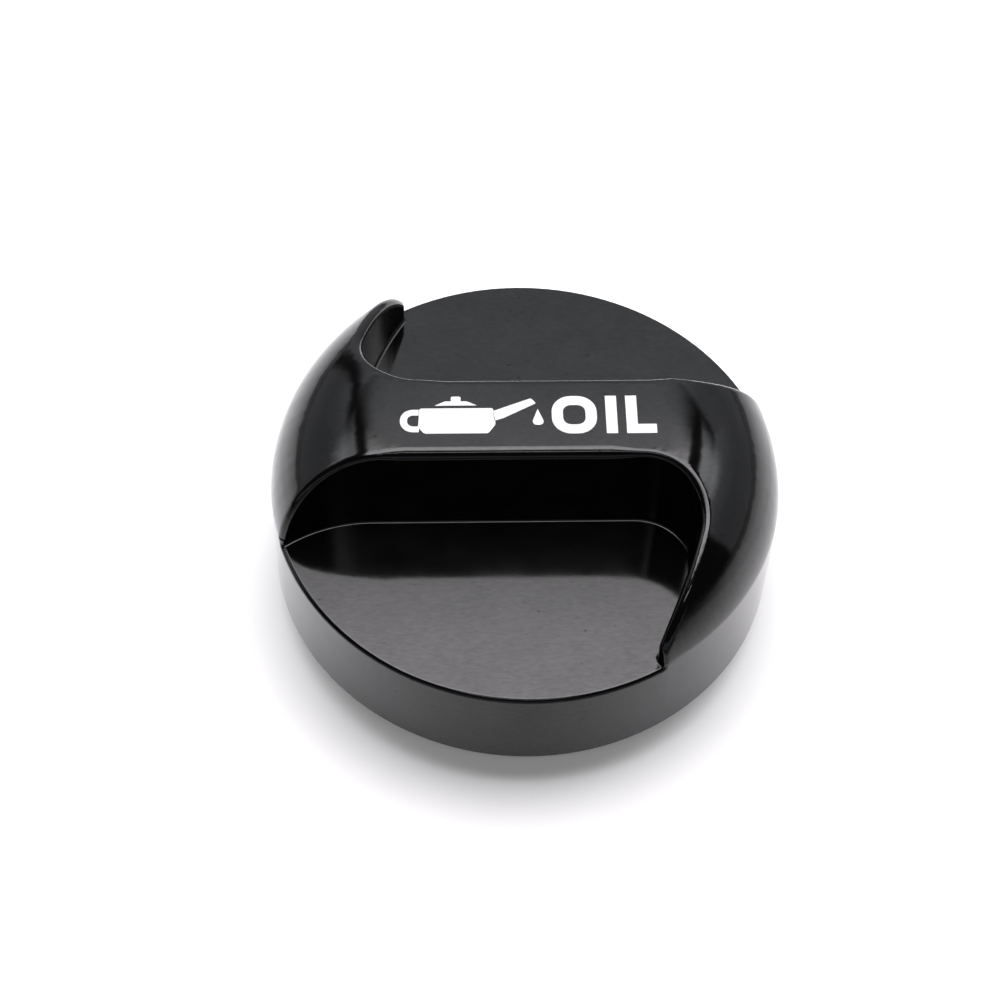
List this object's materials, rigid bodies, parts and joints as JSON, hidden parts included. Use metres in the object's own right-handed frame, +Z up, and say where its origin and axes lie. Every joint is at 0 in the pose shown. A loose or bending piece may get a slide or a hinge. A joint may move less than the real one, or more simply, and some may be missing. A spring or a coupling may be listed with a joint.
{
  "type": "oil filler cap",
  "caption": "Black anodised billet oil filler cap with a domed S-shaped grip bar between finger pockets, a plain skirt, a hollow neck with bayonet lugs and a sealing ring under the deck.",
  "frame": {"origin": "on the cap's axis, at the end face of the neck that the cap stands on", "axes": "+Z up along the cap's axis, out of the grip; the straight part of the grip bar runs along X"},
  "size_m": [0.07, 0.07, 0.0375],
  "materials": {
    "anodised_body": "black anodised, smooth, semi-gloss",
    "ring_rubber": "matte"
  },
  "bodies": {
    "root": {"cap_body": "anodised_body", "sealing_ring": "ring_rubber"}
  },
  "joints": []
}
